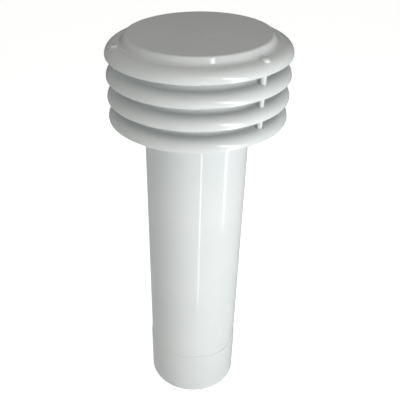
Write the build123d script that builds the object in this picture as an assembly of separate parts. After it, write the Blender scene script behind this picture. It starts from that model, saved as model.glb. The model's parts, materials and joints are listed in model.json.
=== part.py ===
"""Louvred cowl vent: a capped stack of pressed rings on an upright 4 inch pipe.

The origin is the centre of the pipe's open lower end, +Z is up along the pipe.
All lengths are in millimetres and all angles in degrees.
"""

import os
from math import atan2, cos, degrees, radians, sin, tan

from build123d import *

# Pipe and the sleeve on its lower end
PIPE_DIAMETER = 101.6
PIPE_WALL = 1.5
SLEEVE_WALL = 0.8
SLEEVE_LENGTH = 59.0
SLEEVE_EDGE = 0.4
SOCKET_DEPTH = 29.0
STOP_WIDTH = 2.0
PIPE_UPSTAND = 10.0

# Louvred head: the cap and the rings share one pressed outline
HEAD_DIAMETER = 169.0
BASE_LIP_HEIGHT = 349.0
RING_PITCH = 19.65
RING_COUNT = 3
SHEET = 1.5
LIP_REACH = 11.7
LIP_RISE = 10.2
CROWN_HEIGHT = 16.75
CROWN_RADIUS = 66.0
FOOT_RADIUS = 70.6
CROWN_FILLET = 3.0
FOOT_FILLET = 4.0
RING_OPENING = 122.0

# Tie bolts, M4, with the sunk seats that they clamp
BOLT_COUNT = 3
BOLT_CIRCLE_RADIUS = 75.5
BOLT_FIRST_AZIMUTH = 75.8
BOLT_SHANK = 3.9
BOLT_HOLE = 4.3
BOLT_HEAD_DIAMETER = 8.0
BOLT_HEAD_HEIGHT = 2.8
BOLT_HEAD_DOME = 5.16
BOLT_END_BEYOND_NUT = 1.0
BOLT_END_CHAMFER = 0.5
CROSS_WIDTH = 0.9
CROSS_SPAN = 4.2
CROSS_DEPTH = 1.6
HEAD_SEAT_DIAMETER = 8.4
SPACER_SEAT_DIAMETER = 6.4
SEAT_SINK = 0.9
SPACER_OUTER = 5.0
SPACER_INNER = 4.0
WASHER_OUTER = 8.0
WASHER_THICKNESS = 0.5
NUT_ACROSS_FLATS = 7.0
NUT_HEX_HEIGHT = 3.2
NUT_HEIGHT = 5.0
NUT_COLLAR_DIAMETER = 6.2

# Neck flange and its blind rivets
NECK_FLANGE_RADIUS = 62.0
NECK_LEG_LENGTH = 12.0
RIVET_SHANK = 3.2
RIVET_HOLE = 3.3
RIVET_HEAD_DIAMETER = 6.5
RIVET_HEAD_HEIGHT = 1.0
RIVET_BULB_DIAMETER = 4.6
RIVET_BULB_LENGTH = 2.4
FLANGE_RIVET_COUNT = 6
FLANGE_RIVET_RADIUS = 57.5
FLANGE_RIVET_FIRST_AZIMUTH = 15.8
NECK_RIVET_COUNT = 3
NECK_RIVET_FIRST_AZIMUTH = 45.8

# Worked out from the above
PIPE_RADIUS = PIPE_DIAMETER / 2
HEAD_RADIUS = HEAD_DIAMETER / 2
LIP_CENTRE = HEAD_RADIUS - LIP_REACH
RIM_ROUND = SHEET / 2
CAP_LIP_HEIGHT = BASE_LIP_HEIGHT + RING_COUNT * RING_PITCH
PIPE_FOOT = SOCKET_DEPTH + STOP_WIDTH
PIPE_TOP = BASE_LIP_HEIGHT + CROWN_HEIGHT + PIPE_UPSTAND
WALL_SLOPE = degrees(atan2(CROWN_HEIGHT - LIP_RISE, FOOT_RADIUS - CROWN_RADIUS))
SEAT_TOP = LIP_RISE - SEAT_SINK
SEAT_UNDERSIDE = SEAT_TOP - SHEET
NECK_TOP = BASE_LIP_HEIGHT + CROWN_HEIGHT - SHEET
NECK_RIVET_HEIGHT = NECK_TOP - SHEET - NECK_LEG_LENGTH / 2
NUT_TOP = BASE_LIP_HEIGHT + SEAT_UNDERSIDE - WASHER_THICKNESS
BOLT_END = NUT_TOP - NUT_HEIGHT - BOLT_END_BEYOND_NUT
HEAD_SEAT = CAP_LIP_HEIGHT + SEAT_TOP


def azimuths(first, count):
    """Evenly spaced directions round the pipe."""
    return [first + 360 / count * index for index in range(count)]


def place_at(radius, azimuth, height):
    """The location at a radius and direction from the pipe's axis."""
    turn = radians(azimuth)
    return Pos(radius * cos(turn), radius * sin(turn), height)


def rod(radius, low, high):
    """An upright cylinder on the pipe's axis, between two heights."""
    return Pos(0, 0, low) * Cylinder(radius, high - low, align=(Align.CENTER, Align.CENTER, Align.MIN))


def tube(outer_radius, inner_radius, low, high):
    """An upright tube on the pipe's axis, between two heights."""
    return rod(outer_radius, low, high) - rod(inner_radius, low, high)


def pressing_skin(inner_radius, depth):
    """One face of a pressing's half section, depth inside its outer face, lip at height 0."""
    shift = depth * tan(radians(WALL_SLOPE / 2))
    crown = FilletPolyline(
        (inner_radius, CROWN_HEIGHT - depth),
        (CROWN_RADIUS - shift, CROWN_HEIGHT - depth),
        (FOOT_RADIUS - shift, LIP_RISE - depth),
        (LIP_CENTRE, LIP_RISE - depth),
        radius=[CROWN_FILLET - depth, FOOT_FILLET + depth],
    )
    lip = EllipticalCenterArc(
        (LIP_CENTRE, RIM_ROUND), LIP_REACH - depth, LIP_RISE - RIM_ROUND - depth, arc_size=90
    )
    return [*crown.edges(), *lip.edges()]


def pressing(inner_radius, lip_height, seat_diameter):
    """A crowned sheet pressing with a rounded rim and three sunk, drilled bolt seats."""
    outline = pressing_skin(inner_radius, 0) + pressing_skin(inner_radius, SHEET)
    outline += CenterArc((HEAD_RADIUS - RIM_ROUND, RIM_ROUND), RIM_ROUND, 180, 180).edges()
    outline += Line((inner_radius, CROWN_HEIGHT - SHEET), (inner_radius, CROWN_HEIGHT)).edges()
    shell = revolve(Plane.XZ * make_face(outline), Axis.Z)
    seat = tube(seat_diameter / 2, BOLT_HOLE / 2, SEAT_UNDERSIDE, SEAT_TOP)
    for azimuth in azimuths(BOLT_FIRST_AZIMUTH, BOLT_COUNT):
        spot = place_at(BOLT_CIRCLE_RADIUS, azimuth, 0)
        shell -= spot * rod(seat_diameter / 2, 0, CROWN_HEIGHT)
        shell += spot * seat
    return Pos(0, 0, lip_height) * shell


def rivet_holes():
    """Drills for both sets of blind rivets round the neck."""
    drill = rod(RIVET_HOLE / 2, -CROWN_HEIGHT, CROWN_HEIGHT)
    holes = []
    for azimuth in azimuths(FLANGE_RIVET_FIRST_AZIMUTH, FLANGE_RIVET_COUNT):
        holes.append(place_at(FLANGE_RIVET_RADIUS, azimuth, NECK_TOP) * drill)
    for azimuth in azimuths(NECK_RIVET_FIRST_AZIMUTH, NECK_RIVET_COUNT):
        holes.append(radial(azimuth) * drill)
    return holes


def radial(azimuth):
    """The location on the pipe's outside where a neck rivet points outward along local +Z."""
    return Pos(0, 0, NECK_RIVET_HEIGHT) * Rot(0, 0, azimuth) * Rot(0, 90, 0) * Pos(0, 0, PIPE_RADIUS)


def louvre_ring(level):
    """A pressing with its middle cut out, a number of ring pitches above the base ring."""
    return pressing(RING_OPENING / 2, BASE_LIP_HEIGHT + level * RING_PITCH, SPACER_SEAT_DIAMETER)


def base_ring():
    """The lowest pressing, with a pipe-sized hole and rivet holes round it."""
    return pressing(PIPE_RADIUS, BASE_LIP_HEIGHT, HEAD_SEAT_DIAMETER) - rivet_holes()


def vent_pipe():
    """The straight pipe, standing a little above the base ring as a rain upstand."""
    return tube(PIPE_RADIUS, PIPE_RADIUS - PIPE_WALL, PIPE_FOOT, PIPE_TOP) - rivet_holes()


def connection_sleeve():
    """The collar over the pipe's lower end, with an inner stop and an open socket below it."""
    sleeve = tube(PIPE_RADIUS + SLEEVE_WALL, PIPE_RADIUS, 0, SLEEVE_LENGTH)
    outer_rims = sleeve.edges().filter_by(GeomType.CIRCLE).group_by(SortBy.RADIUS)[-1]
    sleeve = fillet(outer_rims.sort_by(Axis.Z)[-1], SLEEVE_EDGE)
    return sleeve + tube(PIPE_RADIUS, PIPE_RADIUS - PIPE_WALL, SOCKET_DEPTH, PIPE_FOOT)


def neck_flange():
    """The angle ring that joins the pipe to the underside of the base ring."""
    leg_bottom = NECK_TOP - SHEET - NECK_LEG_LENGTH
    collar = tube(PIPE_RADIUS + SHEET, PIPE_RADIUS, leg_bottom, NECK_TOP)
    plate = tube(NECK_FLANGE_RADIUS, PIPE_RADIUS, NECK_TOP - SHEET, NECK_TOP)
    return collar + plate - rivet_holes()


def tie_bolt():
    """A long M4 pan-head bolt with a cross recess, its head seated on the cap."""
    head = rod(BOLT_HEAD_DIAMETER / 2, 0, BOLT_HEAD_HEIGHT)
    head &= Pos(0, 0, BOLT_HEAD_HEIGHT - BOLT_HEAD_DOME) * Sphere(BOLT_HEAD_DOME)
    slot = Pos(0, 0, BOLT_HEAD_HEIGHT) * Box(CROSS_SPAN, CROSS_WIDTH, 2 * CROSS_DEPTH)
    head -= [slot, Rot(0, 0, 90) * slot]
    shank = rod(BOLT_SHANK / 2, BOLT_END - HEAD_SEAT, 0)
    shank = chamfer(shank.edges().sort_by(Axis.Z)[0], BOLT_END_CHAMFER)
    return Pos(0, 0, HEAD_SEAT) * (head + shank)


def spacer(gap):
    """The tube that holds one louvre gap open, gap 0 being the lowest."""
    low = BASE_LIP_HEIGHT + gap * RING_PITCH + SEAT_TOP
    return tube(SPACER_OUTER / 2, SPACER_INNER / 2, low, low + RING_PITCH - SHEET)


def washer():
    """A small plain washer under the base ring's seat."""
    return tube(WASHER_OUTER / 2, BOLT_HOLE / 2, NUT_TOP, NUT_TOP + WASHER_THICKNESS)


def lock_nut():
    """A self-locking M4 nut: a hexagon with a round collar below it."""
    hexagon = RegularPolygon(NUT_ACROSS_FLATS / 2, 6, major_radius=False)
    body = Pos(0, 0, NUT_TOP - NUT_HEX_HEIGHT) * extrude(hexagon, NUT_HEX_HEIGHT)
    collar = rod(NUT_COLLAR_DIAMETER / 2, NUT_TOP - NUT_HEIGHT, NUT_TOP - NUT_HEX_HEIGHT)
    return body + collar - rod(BOLT_SHANK / 2, BOLT_END, NUT_TOP)


def rivet():
    """A set blind rivet, head up, the top of its grip at height 0."""
    grip = 2 * SHEET
    dome_radius = (RIVET_HEAD_DIAMETER**2 / 4 + RIVET_HEAD_HEIGHT**2) / (2 * RIVET_HEAD_HEIGHT)
    dome = Pos(0, 0, RIVET_HEAD_HEIGHT - dome_radius) * Sphere(dome_radius)
    head = dome & rod(RIVET_HEAD_DIAMETER / 2, 0, RIVET_HEAD_HEIGHT)
    shank = rod(RIVET_SHANK / 2, -grip, 0)
    bulb = rod(RIVET_BULB_DIAMETER / 2, -grip - RIVET_BULB_LENGTH, -grip)
    bulb = fillet(bulb.edges().filter_by(GeomType.CIRCLE).sort_by(Axis.Z)[0], RIVET_BULB_LENGTH / 2)
    return head + shank + bulb


def neck_rivet(azimuth):
    """A blind rivet through the neck and the pipe, its faces curved to fit them."""
    whole = radial(azimuth) * Pos(0, 0, SHEET) * rivet()
    clear = rod(RIVET_HOLE / 2, -HEAD_RADIUS, HEAD_RADIUS)
    wall = tube(PIPE_RADIUS + SHEET, PIPE_RADIUS - PIPE_WALL, BASE_LIP_HEIGHT, NECK_TOP)
    return whole - (wall - radial(azimuth) * clear)


def build_nodes():
    """Every sub-part by its name, in place."""
    nodes = {
        "cap": pressing(0, CAP_LIP_HEIGHT, HEAD_SEAT_DIAMETER),
        "louvre_ring_upper": louvre_ring(2),
        "louvre_ring_middle": louvre_ring(1),
        "base_ring": base_ring(),
        "vent_pipe": vent_pipe(),
        "connection_sleeve": connection_sleeve(),
        "neck_flange": neck_flange(),
    }
    for number, azimuth in enumerate(azimuths(BOLT_FIRST_AZIMUTH, BOLT_COUNT), start=1):
        spot = place_at(BOLT_CIRCLE_RADIUS, azimuth, 0)
        nodes[f"tie_bolt_{number}"] = spot * tie_bolt()
        nodes[f"washer_{number}"] = spot * washer()
        nodes[f"lock_nut_{number}"] = spot * Rot(0, 0, azimuth) * lock_nut()
        for gap, level in enumerate(("lower", "middle", "upper")):
            nodes[f"spacer_{level}_{number}"] = spot * spacer(gap)
    for number, azimuth in enumerate(azimuths(FLANGE_RIVET_FIRST_AZIMUTH, FLANGE_RIVET_COUNT), start=1):
        seat = place_at(FLANGE_RIVET_RADIUS, azimuth, NECK_TOP + SHEET)
        nodes[f"flange_rivet_{number}"] = seat * rivet()
    for number, azimuth in enumerate(azimuths(NECK_RIVET_FIRST_AZIMUTH, NECK_RIVET_COUNT), start=1):
        nodes[f"neck_rivet_{number}"] = neck_rivet(azimuth)
    return nodes


os.makedirs("parts", exist_ok=True)
for name, solid in build_nodes().items():
    export_step(solid, f"parts/{name}.step")
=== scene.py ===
"""Looks for the louvred cowl vent: paint, metal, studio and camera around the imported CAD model."""

import json
import math

import bmesh
import bpy
from mathutils import Matrix, Vector


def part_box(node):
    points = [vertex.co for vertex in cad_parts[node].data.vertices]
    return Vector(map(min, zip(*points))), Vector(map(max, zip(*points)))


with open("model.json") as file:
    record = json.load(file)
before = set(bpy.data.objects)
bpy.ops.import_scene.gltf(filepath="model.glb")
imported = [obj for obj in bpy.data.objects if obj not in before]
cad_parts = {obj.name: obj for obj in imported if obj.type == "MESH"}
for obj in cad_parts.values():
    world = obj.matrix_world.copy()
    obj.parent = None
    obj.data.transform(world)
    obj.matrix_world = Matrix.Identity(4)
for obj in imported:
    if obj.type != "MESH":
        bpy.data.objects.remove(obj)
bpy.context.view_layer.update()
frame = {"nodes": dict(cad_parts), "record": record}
NODES = frame["nodes"]

# Camera, fitted to the outlines of the rims and the pipe: metres and radians in the row frame,
# millimetres for its lens and sensor, and its shift as a share of the frame
CAMERA_DISTANCE = 0.50966
CAMERA_HEIGHT = 0.57422
CAMERA_PITCH = 0.6440
CAMERA_YAW = -0.0718
CAMERA_ROLL = -0.0233
CAMERA_LENS = 50.81
CAMERA_SENSOR = 36.0
CAMERA_SHIFT = (0.09485, 0.10879)

# Studio: azimuths run from the front (-Y) towards +X and elevations from the horizon, in degrees.
# Lengths are in metres. A panel's strength of 1 is 4 watts per square metre.
HEAD_CENTRE = Vector((0.0, 0.0, (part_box("base_ring")[0][2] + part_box("cap")[1][2]) / 2))
STUDIO_RADIUS = 0.90
WATTS_PER_STRENGTH = 4

# World brightness by height: 0 is straight down, 0.5 the horizon and 1 straight up. The heights
# were placed one by one. The brightnesses are a least-squares match to the photograph's shading.
WORLD_LIGHT = (
    (0.0, 0.52),
    (0.28, 0.41),
    (0.45, 0.07),
    (0.58, 0.08),
    (0.72, 0.22),
    (0.92, 0.42),
    (1.0, 0.43),
)
# The world's light turns from cool to warm between these two heights of its direction
WORLD_WARMS = (0.45, 0.75)

# Soft panels: azimuth, lowest and highest elevation, strength. The first eight strengths come from
# the same match, and three of those were then changed. The three behind are a free choice.
SOFT_PANELS = (
    (-40, -24, -8, 0.7),
    (0, -24, -8, 1.7),
    (35, -24, -8, 3.9),
    (70, -24, -8, 2.5),
    (105, -24, -8, 0.85),
    (-40, -6, 12, 0.4),
    (35, -6, 12, 4.0),
    (0, 35, 60, 0.9),
    (150, -24, 6, 1.5),
    (195, -24, 6, 1.3),
    (240, -24, 6, 1.2),
)
SOFT_WIDTH = 0.50
# The window's fold, from its top to its bottom, as azimuths and elevations, and its panes' widths
WINDOW_CORNERS = ((15, 55), (32, 38), (40, 20), (50, 0), (40, -15), (33, -22))
WINDOW_WIDTHS = (0.04, 0.15, 0.17, 0.17, 0.13)
WINDOW_STRENGTH = 8.5
# A small lamp for a faint spark on each ring: azimuth, elevation, size, strength
SPARK = (6.5, 8.0, 0.05, 120.0)
# Strips whose reflections run down the pipe: azimuth, lowest and highest point, width, strength
STRIP_RADIUS = 0.34
PIPE_STRIPS = (
    (11, -0.13, 0.18, 0.014, 5.0),
    (66, 0.04, 0.18, 0.040, 3.2),
)

# Floor: flat out to its radius, then a quarter turn up into a straight backdrop
FLOOR_RADIUS = 3.0
FLOOR_TURN_STEPS = 12
FLOOR_SPIN_STEPS = 96
FLOOR_MERGE = 1e-5
FLOOR_GREY = 0.86
FLOOR_ROUGHNESS = 0.9
FLOOR_GLOW = 0.70

# Colours, as linear red, green and blue
DAYLIGHT = (0.965, 1.0, 1.0)
ROOM_LIGHT = (1.0, 0.980, 0.935)
PAINT_WHITE = (0.840, 0.850, 0.845)
PAINT_COOL = (0.800, 0.822, 0.820)
PAINT_SPECK = (0.45, 0.44, 0.41)
STEEL_LIGHT = (0.64, 0.63, 0.61)
STEEL_DARK = (0.50, 0.49, 0.47)
ALUMINIUM_LIGHT = (0.74, 0.74, 0.75)
ALUMINIUM_DARK = (0.60, 0.60, 0.61)

# Noise values that are stretched to the whole of another range
UNIT = (0.0, 1.0)
NOISE_NARROW = (0.35, 0.65)
NOISE_WIDE = (0.3, 0.7)
NOISE_STAINS = (0.35, 0.7)

# Paint: lumps per metre, and relief in metres
PAINT_DRIFT_LUMPS = 16.0
PAINT_HAZE_LUMPS = 55.0
PAINT_WAVE_LUMPS = 45.0
SHELL_WAVE_RELIEF = 0.00010
FIXINGS_WAVE_RELIEF = 0.00018
PAINT_PEEL_LUMPS = 420.0
PAINT_PEEL_RELIEF = 0.000007
PAINT_ROUGHNESS = (0.05, 0.10)
PAINT_IOR = 1.5
# Dust nibs: cells per metre, a nib's radius and the share of cells that hold one
NIB_CELLS = 150.0
NIB_RADIUS = 0.055
NIB_SHARE = 0.10
NIB_RELIEF = 0.00008
NIB_TINT = 0.35

# Metals: lumps per metre, and relief in metres
TURNING_LUMPS = 2600.0
TURNING_RELIEF = 0.00001
STAIN_LUMPS = 60.0
STEEL_ROUGHNESS = (0.24, 0.42)
MOTTLE_LUMPS = 380.0
DENT_LUMPS = 900.0
DENT_RELIEF = 0.00002
ALUMINIUM_ROUGHNESS = (0.34, 0.52)

# The Mix node's colour sockets share their names with its number sockets, so they go by place
MIX_FIRST_COLOUR = 6
MIX_SECOND_COLOUR = 7
MIX_RESULT_COLOUR = 2


# ---------------------------------------------------------------- shader nodes


def add_noise(tree, vector, scale, detail=2.0):
    """Cloudy noise from 0 to 1, with its scale in lumps per metre."""
    texture = tree.nodes.new("ShaderNodeTexNoise")
    texture.inputs["Scale"].default_value = scale
    texture.inputs["Detail"].default_value = detail
    tree.links.new(vector, texture.inputs["Vector"])
    return texture.outputs["Fac"]


def remap(tree, value, old, new):
    """A value taken from one range to another, and held inside it."""
    node = tree.nodes.new("ShaderNodeMapRange")
    node.inputs["From Min"].default_value, node.inputs["From Max"].default_value = old
    node.inputs["To Min"].default_value, node.inputs["To Max"].default_value = new
    tree.links.new(value, node.inputs["Value"])
    return node.outputs["Result"]


def calculate(tree, operation, first, second):
    """One sum on two values, where the second may be a plain number."""
    node = tree.nodes.new("ShaderNodeMath")
    node.operation = operation
    tree.links.new(first, node.inputs[0])
    if isinstance(second, float):
        node.inputs[1].default_value = second
    else:
        tree.links.new(second, node.inputs[1])
    return node.outputs["Value"]


def mix_colours(tree, factor, first, second):
    """A blend of two colours, where the first may be another node's output."""
    node = tree.nodes.new("ShaderNodeMix")
    node.data_type = "RGBA"
    tree.links.new(factor, node.inputs["Factor"])
    if isinstance(first, tuple):
        node.inputs[MIX_FIRST_COLOUR].default_value = (*first, 1.0)
    else:
        tree.links.new(first, node.inputs[MIX_FIRST_COLOUR])
    node.inputs[MIX_SECOND_COLOUR].default_value = (*second, 1.0)
    return node.outputs[MIX_RESULT_COLOUR]


def add_bump(tree, height, distance, below=None):
    """Fine relief of a height in metres, laid over another bump where one is given."""
    node = tree.nodes.new("ShaderNodeBump")
    node.inputs["Distance"].default_value = distance
    tree.links.new(height, node.inputs["Height"])
    if below is not None:
        tree.links.new(below, node.inputs["Normal"])
    return node.outputs["Normal"]


def add_nibs(tree, vector):
    """A mask of scattered round specks, each in a cell of its own, with most cells empty."""
    cells = tree.nodes.new("ShaderNodeTexVoronoi")
    cells.inputs["Scale"].default_value = NIB_CELLS
    tree.links.new(vector, cells.inputs["Vector"])
    chance = tree.nodes.new("ShaderNodeSeparateColor")
    tree.links.new(cells.outputs["Color"], chance.inputs["Color"])
    kept = calculate(tree, "LESS_THAN", chance.outputs["Red"], NIB_SHARE)
    spot = remap(tree, cells.outputs["Distance"], (0.0, NIB_RADIUS), (1.0, 0.0))
    return calculate(tree, "MULTIPLY", spot, kept)


# ---------------------------------------------------------------- camera and studio


def make_camera():
    """The camera at the photograph's height and angle, in front of the vent."""
    data = bpy.data.cameras.new("camera")
    data.sensor_width = CAMERA_SENSOR
    data.lens = CAMERA_LENS
    data.shift_x, data.shift_y = CAMERA_SHIFT
    camera = bpy.data.objects.new("camera", data)
    bpy.context.scene.collection.objects.link(camera)
    forward = Vector((
        math.sin(CAMERA_YAW) * math.cos(CAMERA_PITCH),
        math.cos(CAMERA_YAW) * math.cos(CAMERA_PITCH),
        -math.sin(CAMERA_PITCH),
    ))
    level = Vector((math.cos(CAMERA_YAW), -math.sin(CAMERA_YAW), 0.0))
    upward = level.cross(forward)
    right = math.cos(CAMERA_ROLL) * level + math.sin(CAMERA_ROLL) * upward
    upright = -math.sin(CAMERA_ROLL) * level + math.cos(CAMERA_ROLL) * upward
    turn = Matrix((right, upright, -forward)).transposed()
    camera.matrix_world = turn.to_4x4()
    camera.location = (0.0, -CAMERA_DISTANCE, CAMERA_HEIGHT)
    bpy.context.scene.camera = camera


def direction(azimuth, elevation):
    """The unit vector towards an azimuth and elevation given in degrees."""
    turn = math.radians(azimuth)
    rise = math.radians(elevation)
    return Vector((math.sin(turn) * math.cos(rise), -math.cos(turn) * math.cos(rise), math.sin(rise)))


def light_panel(name, start, end, width, strength, target, shows_in, colour):
    """A flat light from one point to another that faces its target, seen in shade or in gloss."""
    middle = (start + end) / 2
    along = (end - start).normalized()
    back = (middle - target).normalized()
    across = back.cross(along).normalized()
    back = along.cross(across)
    lamp = bpy.data.lights.new(name, "AREA")
    lamp.shape = "RECTANGLE"
    lamp.size = (end - start).length
    lamp.size_y = width
    lamp.energy = WATTS_PER_STRENGTH * strength * lamp.size * lamp.size_y
    lamp.color = colour
    light = bpy.data.objects.new(name, lamp)
    bpy.context.scene.collection.objects.link(light)
    light.matrix_world = Matrix((along, across, back)).transposed().to_4x4()
    light.location = middle
    light.visible_camera = False
    light.visible_diffuse = shows_in == "shade"
    light.visible_glossy = shows_in == "gloss"


def make_soft_panels():
    """Broad panels for the shading: cool from the right and behind, warm from the front and left."""
    for number, (azimuth, low, high, strength) in enumerate(SOFT_PANELS, start=1):
        start = HEAD_CENTRE + STUDIO_RADIUS * direction(azimuth, low)
        end = HEAD_CENTRE + STUDIO_RADIUS * direction(azimuth, high)
        colour = DAYLIGHT if azimuth > 0 else ROOM_LIGHT
        light_panel(f"soft_{number}", start, end, SOFT_WIDTH, strength, HEAD_CENTRE, "shade", colour)


def make_window():
    """A folded window whose panes join end to end, seen only in the gloss."""
    corners = [HEAD_CENTRE + STUDIO_RADIUS * direction(*corner) for corner in WINDOW_CORNERS]
    panes = zip(corners, corners[1:], WINDOW_WIDTHS)
    for number, (start, end, width) in enumerate(panes, start=1):
        light_panel(f"window_{number}", start, end, width, WINDOW_STRENGTH, HEAD_CENTRE, "gloss", DAYLIGHT)


def make_spark():
    """A small square lamp in front of the head, seen only in the gloss."""
    azimuth, elevation, size, strength = SPARK
    middle = HEAD_CENTRE + STUDIO_RADIUS * direction(azimuth, elevation)
    half = Vector((0.0, 0.0, size / 2))
    light_panel("spark", middle - half, middle + half, size, strength, HEAD_CENTRE, "gloss", DAYLIGHT)


def make_pipe_strips():
    """Thin upright strips close to the pipe, seen only in the gloss."""
    for number, (azimuth, low, high, width, strength) in enumerate(PIPE_STRIPS, start=1):
        place = direction(azimuth, 0.0) * STRIP_RADIUS
        start = place + Vector((0.0, 0.0, low))
        end = place + Vector((0.0, 0.0, high))
        target = Vector((0.0, 0.0, (low + high) / 2))
        light_panel(f"strip_{number}", start, end, width, strength, target, "gloss", DAYLIGHT)


def make_lights():
    """All lamps of the studio."""
    make_soft_panels()
    make_window()
    make_spark()
    make_pipe_strips()


def make_world():
    """Soft light from above and below, with darker surroundings near the horizon."""
    world = bpy.data.worlds.new("studio")
    bpy.context.scene.world = world
    world.use_nodes = True
    tree = world.node_tree
    background = tree.nodes["Background"]
    split = tree.nodes.new("ShaderNodeSeparateXYZ")
    tree.links.new(tree.nodes.new("ShaderNodeTexCoord").outputs["Generated"], split.inputs["Vector"])
    ramp = tree.nodes.new("ShaderNodeFloatCurve")
    curve = ramp.mapping.curves[0]
    curve.points[0].location = WORLD_LIGHT[0]
    curve.points[1].location = WORLD_LIGHT[-1]
    for place in WORLD_LIGHT[1:-1]:
        curve.points.new(*place)
    ramp.mapping.update()
    tree.links.new(remap(tree, split.outputs["Z"], (-1.0, 1.0), UNIT), ramp.inputs["Value"])
    tree.links.new(ramp.outputs["Value"], background.inputs["Strength"])
    overhead = remap(tree, split.outputs["Z"], WORLD_WARMS, UNIT)
    tree.links.new(mix_colours(tree, overhead, DAYLIGHT, ROOM_LIGHT), background.inputs["Color"])


def floor_profile():
    """Half of the floor's section, from its centre to the top of its backdrop."""
    rise = FLOOR_RADIUS / 2
    profile = [Vector((0.0, 0.0, 0.0)), Vector((FLOOR_RADIUS, 0.0, 0.0))]
    for step in range(1, FLOOR_TURN_STEPS + 1):
        angle = math.radians(90 * step / FLOOR_TURN_STEPS)
        reach = FLOOR_RADIUS + rise * math.sin(angle)
        profile.append(Vector((reach, 0.0, rise * (1 - math.cos(angle)))))
    profile.append(profile[-1] + Vector((0.0, 0.0, FLOOR_RADIUS)))
    return profile


def make_floor_material():
    """Matt white that glows a little by itself, so that the floor looks white in its own dim light."""
    material = bpy.data.materials.new("floor_white")
    material.use_nodes = True
    shader = material.node_tree.nodes["Principled BSDF"]
    shader.inputs["Base Color"].default_value = (FLOOR_GREY, FLOOR_GREY, FLOOR_GREY, 1.0)
    shader.inputs["Roughness"].default_value = FLOOR_ROUGHNESS
    shader.inputs["Specular IOR Level"].default_value = 0.0
    shader.inputs["Emission Color"].default_value = (1.0, 1.0, 1.0, 1.0)
    shader.inputs["Emission Strength"].default_value = FLOOR_GLOW
    return material


def make_floor():
    """A pale floor that curves up into a backdrop all round, and leaves the object's light alone."""
    mesh = bpy.data.meshes.new("studio_floor")
    bm = bmesh.new()
    vertices = [bm.verts.new(point) for point in floor_profile()]
    edges = [bm.edges.new(pair) for pair in zip(vertices, vertices[1:])]
    bmesh.ops.spin(
        bm,
        geom=vertices + edges,
        axis=(0, 0, 1),
        cent=(0, 0, 0),
        angle=2 * math.pi,
        steps=FLOOR_SPIN_STEPS,
        use_merge=True,
    )
    bmesh.ops.remove_doubles(bm, verts=bm.verts, dist=FLOOR_MERGE)
    bmesh.ops.recalc_face_normals(bm, faces=bm.faces)
    for face in bm.faces:
        face.smooth = True
    bm.to_mesh(mesh)
    bm.free()
    floor = bpy.data.objects.new("studio_floor", mesh)
    bpy.context.scene.collection.objects.link(floor)
    mesh.materials.append(make_floor_material())
    floor.visible_diffuse = False
    floor.visible_glossy = False
    floor.visible_shadow = False


# ---------------------------------------------------------------- materials


def new_surface(name):
    """A new material with its node tree, its shader and the object's own coordinates."""
    material = bpy.data.materials.new(name)
    material.use_nodes = True
    tree = material.node_tree
    coordinates = tree.nodes.new("ShaderNodeTexCoord").outputs["Object"]
    return material, tree, tree.nodes["Principled BSDF"], coordinates


def make_paint(name, wave_relief):
    """Gloss white enamel: faint colour drift, orange peel, dust nibs and slow waves in its depth."""
    material, tree, shader, place = new_surface(name)
    clouds = add_noise(tree, place, PAINT_DRIFT_LUMPS, detail=4.0)
    colour = mix_colours(tree, remap(tree, clouds, NOISE_NARROW, UNIT), PAINT_WHITE, PAINT_COOL)
    nibs = add_nibs(tree, place)
    colour = mix_colours(tree, calculate(tree, "MULTIPLY", nibs, NIB_TINT), colour, PAINT_SPECK)
    tree.links.new(colour, shader.inputs["Base Color"])
    haze = add_noise(tree, place, PAINT_HAZE_LUMPS, detail=3.0)
    tree.links.new(remap(tree, haze, NOISE_WIDE, PAINT_ROUGHNESS), shader.inputs["Roughness"])
    waves = add_bump(tree, add_noise(tree, place, PAINT_WAVE_LUMPS), wave_relief)
    peel = add_bump(tree, add_noise(tree, place, PAINT_PEEL_LUMPS), PAINT_PEEL_RELIEF, waves)
    specks = add_bump(tree, nibs, NIB_RELIEF, peel)
    tree.links.new(specks, shader.inputs["Normal"])
    shader.inputs["IOR"].default_value = PAINT_IOR
    return material


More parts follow.
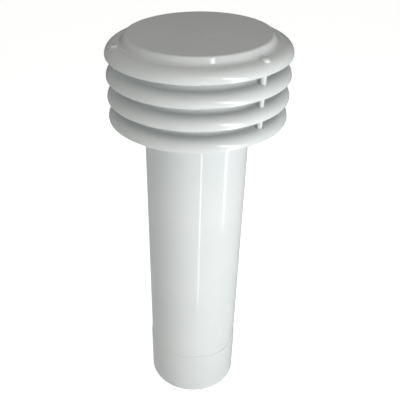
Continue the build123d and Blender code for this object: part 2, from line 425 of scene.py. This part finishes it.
def make_turned_steel(name):
    """Plain stainless steel with fine marks that run round the pipe's axis."""
    material, tree, shader, place = new_surface(name)
    split = tree.nodes.new("ShaderNodeSeparateXYZ")
    tree.links.new(place, split.inputs["Vector"])
    across = calculate(tree, "MULTIPLY", split.outputs["X"], split.outputs["X"])
    along = calculate(tree, "MULTIPLY", split.outputs["Y"], split.outputs["Y"])
    radius = calculate(tree, "POWER", calculate(tree, "ADD", across, along), 0.5)
    turned = tree.nodes.new("ShaderNodeCombineXYZ")
    tree.links.new(radius, turned.inputs["X"])
    tree.links.new(split.outputs["Z"], turned.inputs["Z"])
    marks = add_noise(tree, turned.outputs["Vector"], TURNING_LUMPS, detail=4.0)
    stains = add_noise(tree, place, STAIN_LUMPS, detail=4.0)
    colour = mix_colours(tree, remap(tree, stains, NOISE_STAINS, UNIT), STEEL_LIGHT, STEEL_DARK)
    tree.links.new(colour, shader.inputs["Base Color"])
    shader.inputs["Metallic"].default_value = 1.0
    tree.links.new(remap(tree, marks, NOISE_WIDE, STEEL_ROUGHNESS), shader.inputs["Roughness"])
    tree.links.new(add_bump(tree, marks, TURNING_RELIEF), shader.inputs["Normal"])
    return material


def make_dull_aluminium(name):
    """Rivet metal: pale, dull and slightly mottled, with small dents."""
    material, tree, shader, place = new_surface(name)
    mottle = add_noise(tree, place, MOTTLE_LUMPS, detail=5.0)
    colour = mix_colours(tree, remap(tree, mottle, NOISE_NARROW, UNIT), ALUMINIUM_LIGHT, ALUMINIUM_DARK)
    tree.links.new(colour, shader.inputs["Base Color"])
    shader.inputs["Metallic"].default_value = 1.0
    tree.links.new(remap(tree, mottle, NOISE_WIDE, ALUMINIUM_ROUGHNESS), shader.inputs["Roughness"])
    dents = add_noise(tree, place, DENT_LUMPS, detail=3.0)
    tree.links.new(add_bump(tree, dents, DENT_RELIEF), shader.inputs["Normal"])
    return material


def dress_nodes():
    """Each CAD node gets the material of the slot that the record names for it."""
    materials = {
        "painted_shell": make_paint("painted_shell_white", SHELL_WAVE_RELIEF),
        "painted_fixings": make_paint("painted_fixings_white", FIXINGS_WAVE_RELIEF),
        "plain_steel": make_turned_steel("turned_stainless"),
        "rivet_metal": make_dull_aluminium("dull_aluminium"),
    }
    for part in frame["record"]["subparts"]:
        for slot in NODES[part["node"]].material_slots:
            slot.material = materials[part["material_slot"]]


make_camera()
make_world()
make_lights()
make_floor()
dress_nodes()
bpy.context.scene.view_settings.view_transform = "Standard"
